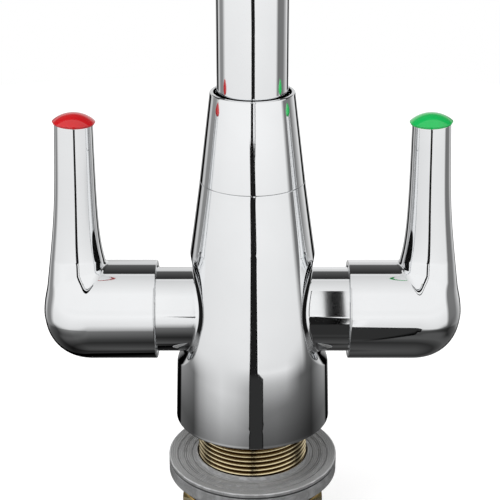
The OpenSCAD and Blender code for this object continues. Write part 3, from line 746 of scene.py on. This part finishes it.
def handle_shell(name, side, material):
    """One handle: the rings of its outside, with the bore before them and the lever's top
    and cap hole after them."""
    around = bpy.context.scene.tap_sizes.around
    cos, sin = np.cos(angles(around)), np.sin(angles(around))
    bore = rounded([(ELBOW_X, 0, 0), (ELBOW_X, 6.05, 0.2), (38.25, 6.05, 0.2),
                    (38.25, 12.75, 0.2), (BARREL_START, 12.75, 0.25),
                    (BARREL_START, BARREL_R, 0.3), (30, BARREL_R, 0)])
    inside = points(bore[:, :1], bore[:, 1:] * sin, -bore[:, 1:] * cos)
    outside = handle_rings(around)
    top_x, top_h = LEVER_TOP[0], LEVER_TOP[1] - CAP_STAND
    outer_x, inner_x = outside[-1, [0, around // 2], 0]
    last, middle = (outer_x - inner_x) / 2, (outer_x + inner_x) / 2
    top = rounded([(last, -0.75, 0), (last - 0.02, 0, 0.3), (3.05, 0, 0.1), (3.05, -5.6, 0.1),
                   (0, -5.6, 0)])[1:]
    shift = np.interp(top[:, :1], [3.2, last],
                      [0, middle - top_x - 0.9 * math.sin(LEVER_LEAN)])
    out, up = leant(shift + top[:, :1] * cos, top[:, 1:])
    end = points(top_x + out, top[:, :1] * sin, top_h + up)
    grid = np.concatenate([inside, outside, end])
    obj = piece(name, [on_arm(grid, side)], material)
    drill(obj, side)
    return obj


def drill(obj, side):
    """Cuts the grub screw's hole through the underside of the handle."""
    radius, low, high, at = 2.55, -17, -3, 42.45
    hole = np.array([(0, low), (radius, low), (radius, high), (0, high)])
    cutter = piece("grub_hole_cutter", [on_arm(turned(hole, 32, (at, 0)), side)],
                   obj.data.materials[0])
    cut = obj.modifiers.new("grub_hole", "BOOLEAN")
    cut.operation = "DIFFERENCE"
    cut.solver = "EXACT"
    cut.object = cutter
    state = bpy.context.evaluated_depsgraph_get()
    obj.data = bpy.data.meshes.new_from_object(obj.evaluated_get(state))
    obj.modifiers.clear()
    smooth(obj.data)
    bpy.data.objects.remove(cutter)


def index_cap(name, side, material):
    """One index cap: a dome that is part of a ball, a sharp edge, and a narrower foot and a
    stem below it."""
    edge_r, foot_r, stem_r, stem_h = 6.05, 5.75, 3, -5.5
    dome = 1000 * bpy.context.scene.tap_sizes.cap_dome
    ball = (edge_r ** 2 + dome ** 2) / (2 * dome)
    r = np.linspace(6, 0, 24)
    edge = rounded([(0, stem_h, 0), (stem_r, stem_h, 0.3), (stem_r, -CAP_STAND, 0.1),
                    (foot_r, -CAP_STAND, 0.1), (foot_r, -0.12, 0.1), (edge_r, -0.06, 0.04),
                    (6, 0.08, 0)])
    dome_rows = points(r, dome - ball + np.sqrt(ball ** 2 - r ** 2))
    grid = turned(np.vstack([edge[:-1], dome_rows]), 96)
    out, up = leant(grid[..., 0], grid[..., 2])
    grid = on_arm(points(LEVER_TOP[0] + out, grid[..., 1], LEVER_TOP[1] + up), side)
    return piece(name, [grid], material, sharp=50)


# Shank and clamp set

def shank_thread(material):
    """The shank with its real thread.

    The rows follow the helix, eight to each turn, so each row keeps one place on the thread's
    profile. Rows past an end are held at that end, where the thread has run out."""
    sizes = bpy.context.scene.tap_sizes
    pitch, depth = 1000 * sizes.thread_pitch, 1000 * sizes.thread_depth
    columns = 120
    angle = np.arange(columns + 1) / columns * FULL
    bottom, top = -SHANK_LEN, 1.6
    shares = np.array([0, 0.1, 0.22, 0.36, 0.5, 0.64, 0.78, 0.9])
    drops = np.array([0, 0.08, 0.36, 0.74, 1, 0.74, 0.36, 0.08])
    turns = np.arange(math.floor(bottom / pitch) - 2, math.ceil(top / pitch) + 2)
    share = (turns[:, None] + shares).reshape(-1, 1)
    drop = np.tile(drops, len(turns))[:, None]
    z = np.clip(pitch * (share + angle / FULL), bottom, top)
    ends = np.minimum(15.3 + (z - bottom) * 0.9, 15.4 + (top - z) * 0.9)
    radius = np.minimum(SHANK_R - depth * drop, ends)
    # share of the thread's depth, which the brass paints as shade
    painted_shade = np.clip((SHANK_R - radius) / depth, 0, 1)
    over = rounded([(15.4, top, 0), (15, top, 0.05), (15, 10, 0.3), (12.5, 10, 0.2),
                    (12.5, bottom, 0.3), (15.3, bottom, 0)])
    ring = polar(over[:, :1], angle, over[:, 1:])
    return piece("shank_thread", [polar(radius, angle, z), ring], material, sharp=60,
                 painted_shade=[painted_shade, 0 * ring[..., 0]])


def gasket_ring(material):
    """The grey ring: a thin upper lip, a groove round the edge and a thick lower lip.

    On the dished top the height drops by a raised cosine of the radius, one groove to each 0.62,
    with a depth that swells and fades over four grooves. A soft lip stands up round the hole.
    Painted shade is kept as an attribute: most in the groove round the edge, less on the outer
    wall, on the top inside the rim, on the dished top and in each groove's floor, and down the
    hole, and little on the lip round the hole."""
    rim, top, bottom = 25.6, -13.5, -18.9
    outline = rounded([(21, bottom, 0), (rim, bottom, 0.35), (rim, -15.1, 0.25),
                       (24.8, -15.1, 0.15), (24.8, -14.6, 0.15), (rim, -14.6, 0.25),
                       (rim, top, 0.25), (25.1, top, 0.15), (23.3, top - 0.3, 0.2),
                       (23.2, top - 0.3, 0)])
    r = np.arange(23.15, 18.1, -0.05)
    swell = 0.6 + 0.4 * np.cos((23.15 - r) / 2.5 * FULL)
    groove = swell * (0.5 - 0.5 * np.cos((23.15 - r) / 0.62 * FULL))
    dish = points(r, top - 0.3 - 0.2 * groove)
    hole = rounded([(18.05, top - 0.3, 0), (17.5, top - 0.25, 0.3), (17.35, top + 0.75, 0.15),
                    (16.85, top + 0.8, 0.15), (16.85, top - 0.6, 0.2), (17.4, top - 1.2, 0.3),
                    (17.4, bottom, 0.3), (21, bottom, 0)])
    profile = np.vstack([outline, dish, hole])
    out, z = outline.T
    # painted shade: full in the groove round the edge, most on the outer wall, less on the top
    # inside the rim
    slot = (out < 25.4) & (z < -14.4) & (z > -15.3)
    wall = (out > 25.3) & (z < top - 0.15)
    flat = (out < 25.2) & (z > top - 0.35)
    # painted shade deepens in each groove's floor; the lip round the hole is left lighter than
    # the hole below it
    painted_shade = np.concatenate([np.maximum(slot, 0.72 * wall + 0.45 * flat),
                             0.42 + 0.5 * groove, np.where(hole[:, 1] > top, 0.1, 0.45)])
    columns = 192
    return piece("gasket_ring", [turned(profile, columns)], material, sharp=60,
                 painted_shade=[np.repeat(painted_shade, columns)])


def washer_ring(material):
    """The plain steel washer with its edges rounded by the press."""
    return turned_piece("washer_ring", [
        (20, -18.9, 0), (24, -18.9, 0.3), (24, -20.4, 0.1), (16.8, -20.4, 0.1),
        (16.8, -18.9, 0.3), (20, -18.9, 0)], material)


def hex_nut(material):
    """The nut: a round flange above a hexagon whose corners a cone cuts back at its end.

    The radius at each angle is the lesser of the hexagon's and the cone's."""
    columns = 240
    angle = angles(columns)
    hexagon = 21 / np.cos((angle + math.pi / 6) % (math.pi / 3) - math.pi / 6)
    flange = rounded([(19, -20.4, 0), (22.5, -20.4, 0.3), (22.5, -22.4, 0.3),
                      (21.2, -22.4, 0)])
    z = np.concatenate([[-22.4], np.linspace(-22.6, -26.4, 4), np.linspace(-26.6, -28.4, 19)])
    z = z[:, None]
    sides = polar(np.minimum(hexagon, 21.25 + (z + 28.4) * 1.7), angle, z)
    under = rounded([(20.9, -28.4, 0), (17.4, -28.4, 0.1), (16.55, -27.6, 0.1),
                     (16.55, -21.2, 0.1), (17.3, -20.4, 0.1), (19, -20.4, 0)])
    grid = np.concatenate([turned(flange, columns), sides, turned(under, columns)])
    return piece("hex_nut", [grid], material, sharp=25)


# Stage

# Greys of the room by direction. Turn: degrees from the camera's side, at the level of the
# table and low down. Rise: degrees up from the camera's side, over the top and down behind.
# Fall: degrees above the level of the table, as a share of the greys at the sides.
LEVEL_LEFT = ((0, 230), (95, 225), (108, 130), (122, 130), (128, 190), (135, 190), (140, 5),
              (153, 5), (157, 150), (180, 210))
LEVEL_RIGHT = ((0, 230), (78, 225), (87, 110), (112, 115), (128, 190), (137, 225), (142, 5),
               (153, 5), (160, 210), (180, 220))
LOW_LEFT = ((0, 150), (25, 190), (46, 205), (70, 185), (84, 160), (97, 100), (134, 140),
            (138, 20), (156, 5), (164, 100), (180, 150))
LOW_RIGHT = ((0, 120), (35, 120), (97, 70), (134, 155), (140, 150), (143, 10), (153, 5),
             (157, 110), (180, 150))
RISE = ((0, 225), (20, 240), (56, 240), (105, 205), (111, 225), (113, 40), (147, 90),
        (152, 200), (180, 220))
FALL = ((-90, 100), (-85, 40), (-80, 95), (-60, 60), (-51, 90), (-31, 155), (-28.5, 220),
        (-26.5, 250), (-17, 235), (2, 255))
GAMMA = 2.2
CHROME_SHARE = 0.9  # share of a panel's light that the chrome sends on
ROOM_CENTRE, ROOM_RADIUS = 0.05, 0.5

# Soft edges in the room, in degrees: where a change starts and where it is done
LOW_EDGE_LEFT = (-17, -26)
LOW_EDGE_FRONT, LOW_EDGE_SIDE, FRONT_TO_SIDE = (-20, -28), (-14, -25), (50, 75)
BOTTOM_EDGE, BOTTOM_GREY = (-38, -48), 0.6
TOP_EDGE = (5, 19)

# The dark gap that the camera stands in: its sides in degrees of turn, and the level at which
# each side steps outwards or inwards by so many degrees
GAP_LEFT, GAP_RIGHT, GAP_TOP, GAP_BOTTOM = -7, 7.3, 1, (-58, -50)
LEFT_STEPS = ((3.5, (2, -4)), (-1.5, (-9, -28)))
RIGHT_STEP, RIGHT_STEP_TOP = (8, (-19.5, -22.5)), (-3, (-4, 2))
GAP_GREY, GAP_GREY_LOW, GAP_FADE = 0.012, 0.018, (0.7, 1.6)
GLOW_WIDTH = 0.6  # half width of the bright strip along the gap's right side
BAR_RISE, BARS, BAR_GREY = 72, ((0.107, 0.013), (-0.02, 0.05)), 0.002


def grey_ramp(tree, degrees, stops, low=0, high=180):
    """A ramp of greys over degrees from low to high. A grey is a brightness from 0 to 255 as
    chrome shows it, which is a tenth darker than the panel that it mirrors."""
    return ramp(tree, spread(tree, degrees, 0, 1, low, high), [
        ((at - low) / (high - low), ((shade / 255) ** GAMMA / CHROME_SHARE,) * 3)
        for at, shade in stops])


def room_greys(tree):
    """Grey of the room by direction: light panels all round and above, grey panels at the
    sides, dark joints between them behind the tap, and the dark gap with bars above it."""
    mapping = add_node(tree, "Mapping", Vector=place_in_object(tree),
                       Location=(0, 0, -ROOM_CENTRE / ROOM_RADIUS),
                       Scale=(1 / ROOM_RADIUS,) * 3)
    x, y, z = add_node(tree, "SeparateXYZ", Vector=mapping.outputs["Vector"]).outputs
    calc, mix, greys = (partial(make, tree) for make in (math_node, mix_node, grey_ramp))

    def times(*factors):
        return reduce(partial(calc, "MULTIPLY"), factors)

    def share(value, edge):
        return spread(tree, value, 0, 1, *edge)

    def stepped(start, *steps):
        for width, edge in steps:
            start = calc("ADD", start, times(share(level, edge), width))
        return start

    front = times(y, -1)
    turn, level, rise = (times(angle, 180 / math.pi) for angle in (
        calc("ARCTAN2", x, front), calc("ARCSINE", z), calc("ARCTAN2", z, front)))
    away = calc("ABSOLUTE", turn)
    left = mix(share(level, LOW_EDGE_LEFT), greys(away, LEVEL_LEFT), greys(away, LOW_LEFT))
    low = mix(share(level, BOTTOM_EDGE), greys(away, LOW_RIGHT), BOTTOM_GREY)
    to_low = mix(share(away, FRONT_TO_SIDE), share(level, LOW_EDGE_FRONT),
                 share(level, LOW_EDGE_SIDE))
    right = mix(to_low, greys(away, LEVEL_RIGHT), low)
    sides = mix(1, mix(calc("GREATER_THAN", turn, 0), left, right),
                greys(level, FALL, -90, 2), "MULTIPLY")
    room = mix(share(level, TOP_EDGE), sides, greys(rise, RISE))
    low_down = share(level, RIGHT_STEP[1])
    from_left = calc("SUBTRACT", turn, stepped(GAP_LEFT, *LEFT_STEPS))
    from_right = calc("SUBTRACT", stepped(GAP_RIGHT, RIGHT_STEP, RIGHT_STEP_TOP), turn)
    inside = calc("MINIMUM", from_left, from_right)
    gap = times(calc("GREATER_THAN", inside, 0), calc("LESS_THAN", level, GAP_TOP),
                share(level, GAP_BOTTOM))
    bar = times(calc("GREATER_THAN", level, 0), calc("LESS_THAN", rise, BAR_RISE),
                calc("GREATER_THAN", front, 0),
                calc("MAXIMUM", *(calc("COMPARE", x, *place) for place in BARS)))
    dark = times(share(inside, GAP_FADE),
                 calc("ADD", times(low_down, GAP_GREY_LOW), GAP_GREY))
    glow = times(calc("COMPARE", from_right, -GLOW_WIDTH, GLOW_WIDTH),
                 calc("LESS_THAN", level, -GAP_TOP), calc("SUBTRACT", 1, low_down))
    return mix(bar, mix(gap, mix(glow, room, 1), dark), BAR_GREY)


def studio_room():
    """The room around the tap, on a ball half a metre away, which only gloss sees."""
    mat = bpy.data.materials.new("studio_room")
    mat.use_nodes = True
    tree = mat.node_tree
    tree.nodes.remove(tree.nodes["Principled BSDF"])
    light = add_node(tree, "Emission", Color=room_greys(tree))
    fill(tree, tree.nodes["Material Output"], Surface=light.outputs[0])
    angle = np.linspace(-math.pi / 2, math.pi / 2, 37)
    ball = 1000 * points(ROOM_RADIUS * np.cos(angle), ROOM_CENTRE + ROOM_RADIUS * np.sin(angle))
    room_ball = piece("studio_room", [turned(ball, 72)], mat)
    for ray in ("camera", "diffuse", "transmission", "volume_scatter", "shadow"):
        setattr(room_ball, "visible_" + ray, False)


def studio_world():
    """Plain white for camera, glass and gloss, and a soft even light for dull surfaces."""
    world = bpy.data.worlds.new("studio")
    bpy.context.scene.world = world
    world.use_nodes = True
    tree = world.node_tree
    rays = add_node(tree, "LightPath").outputs
    seen = math_node(tree, "MAXIMUM", rays["Is Camera Ray"], rays["Is Transmission Ray"])
    seen = math_node(tree, "MAXIMUM", seen, rays["Is Glossy Ray"])
    fill(tree, tree.nodes["Background"], Color=mix_node(tree, seen, 0.7, 1), Strength=1)


def studio_floor():
    """A plain white floor under the shank: it keeps the shadow, and the camera sees it lifted
    to the white of the room."""
    floor_h, lift = -50.6, 0.45
    mat, tree, shader = new_material("studio_floor", (0.8, 0.8, 0.8), 0, 0.9)
    camera_ray = add_node(tree, "LightPath").outputs["Is Camera Ray"]
    fill(tree, shader, Emission_Color=(1, 1, 1, 1),
         Emission_Strength=math_node(tree, "MULTIPLY", camera_ray, lift))
    floor = piece("floor", [turned(points((0, 150, 600), floor_h), 96)], mat)
    floor.visible_glossy = False


def stand(name, data, location, rotation):
    """Puts a lamp or camera in the scene, with its rotation in degrees."""
    obj = bpy.data.objects.new(name, data)
    obj.location = location
    obj.rotation_euler = [math.radians(v) for v in rotation]
    bpy.context.scene.collection.objects.link(obj)
    return obj


def studio_lamp(power):
    """One large soft lamp above and in front; the gloss doesn't see it."""
    lamp = bpy.data.lights.new("soft_lamp", "AREA")
    lamp.shape = "DISK"
    lamp.size = 0.8
    lamp.energy = power
    stand("soft_lamp", lamp, (-0.35, -0.55, 0.95), (32, 0, -32)).visible_glossy = False


def studio_camera():
    """The camera, close in front and looking down at about 22 degrees."""
    data = bpy.data.cameras.new("camera")
    data.lens = 96.75
    data.sensor_width = 36
    data.shift_x = -0.00506
    data.clip_start = 0.01
    bpy.context.scene.camera = stand("camera", data, (0, -0.36119, 0.19786),
                                     (90 - 21.8635, 0, 0))


# Operators

MATERIALS = {}


def finish_for(slot):
    """The material of one slot; all are made at the first call."""
    if not MATERIALS:
        MATERIALS.update(make_materials())
    return MATERIALS[slot]


class TAP_OT_stage(Operator):
    """Set up camera, floor, lamp and studio"""

    bl_idname = "tap.stage"
    bl_label = "Stage"

    def execute(self, context):
        studio_camera()
        studio_room()
        studio_world()
        studio_floor()
        studio_lamp(context.scene.tap_finish.lamp_power)
        context.scene.view_settings.view_transform = "Standard"
        return {"FINISHED"}


class TAP_OT_body(Operator):
    """Build the body with its arms, and the collar above the seam"""

    bl_idname = "tap.body"
    bl_label = "Body and collar"

    def execute(self, context):
        dress(body_shell, "body_casting", "body", "chrome_plate")
        dress(collar_shell, "spout_collar", "body", "chrome_plate")
        return {"FINISHED"}


class TAP_OT_spout(Operator):
    """Build the swan neck, the nozzle and the aerator's housing"""

    bl_idname = "tap.spout"
    bl_label = "Spout"

    def execute(self, context):
        dress(swan_neck, "spout_tube", "spout", "chrome_plate")
        dress(nozzle_ring, "spout_nozzle", "spout", "chrome_plate")
        dress(aerator_shell, "aerator_housing", "spout", "chrome_plate")
        return {"FINISHED"}


class TAP_OT_handles(Operator):
    """Build both handles and their index caps"""

    bl_idname = "tap.handles"
    bl_label = "Handles and caps"

    def execute(self, context):
        for name, side in SIDES.items():
            body = name + "_handle_set"
            dress(handle_shell, name + "_handle", body, "chrome_plate",
                  name + "_lever_handle", side)
            dress(index_cap, name + "_index_cap", body, CAP_SLOTS[name], name + "_cap", side)
        return {"FINISHED"}


class TAP_OT_clamp(Operator):
    """Build the threaded shank, the gasket, the washer and the nut"""

    bl_idname = "tap.clamp"
    bl_label = "Shank and clamp set"

    def execute(self, context):
        dress(shank_thread, "threaded_shank", "body", "brass")
        dress(gasket_ring, "clamp_gasket", "clamp_set", "grey_gasket")
        dress(washer_ring, "clamp_washer", "clamp_set", "steel")
        dress(hex_nut, "lock_nut", "nut", "brass")
        return {"FINISHED"}


class TAP_OT_finish_cad(Operator):
    """Give every part that stays as CAD the material of its slot"""

    bl_idname = "tap.finish_cad"
    bl_label = "Finish the inner parts"

    def execute(self, context):
        for part in frame["record"]["subparts"]:
            mesh = frame["nodes"][part["node"]].data
            mesh.materials.clear()
            mesh.materials.append(finish_for(part["material_slot"]))
        return {"FINISHED"}


class TAP_PT_panel(Panel):
    """Panel with all steps in order"""

    bl_idname = "TAP_PT_panel"
    bl_label = "Kitchen mixer tap"
    bl_space_type = "VIEW_3D"
    bl_region_type = "UI"
    bl_category = "Tap"

    def draw(self, context):
        for group in (context.scene.tap_sizes, context.scene.tap_finish):
            for key in group.bl_rna.properties.keys():
                if key not in ("rna_type", "name"):
                    self.layout.prop(group, key)
        for step in STEPS:
            self.layout.operator(step.bl_idname)


STEPS = (TAP_OT_stage, TAP_OT_body, TAP_OT_spout, TAP_OT_handles, TAP_OT_clamp,
         TAP_OT_finish_cad)
CLASSES = (TapSizes, TapFinish) + STEPS + (TAP_PT_panel,)


def register():
    for cls in CLASSES:
        bpy.utils.register_class(cls)
    bpy.types.Scene.tap_sizes = PointerProperty(type=TapSizes)
    bpy.types.Scene.tap_finish = PointerProperty(type=TapFinish)


def unregister():
    del bpy.types.Scene.tap_sizes
    del bpy.types.Scene.tap_finish
    for cls in reversed(CLASSES):
        bpy.utils.unregister_class(cls)


def main():
    """Runs every step."""
    register()
    bpy.ops.tap.stage()
    bpy.ops.tap.body()
    bpy.ops.tap.spout()
    bpy.ops.tap.handles()
    bpy.ops.tap.clamp()
    bpy.ops.tap.finish_cad()


if __name__ == "__main__":
    main()
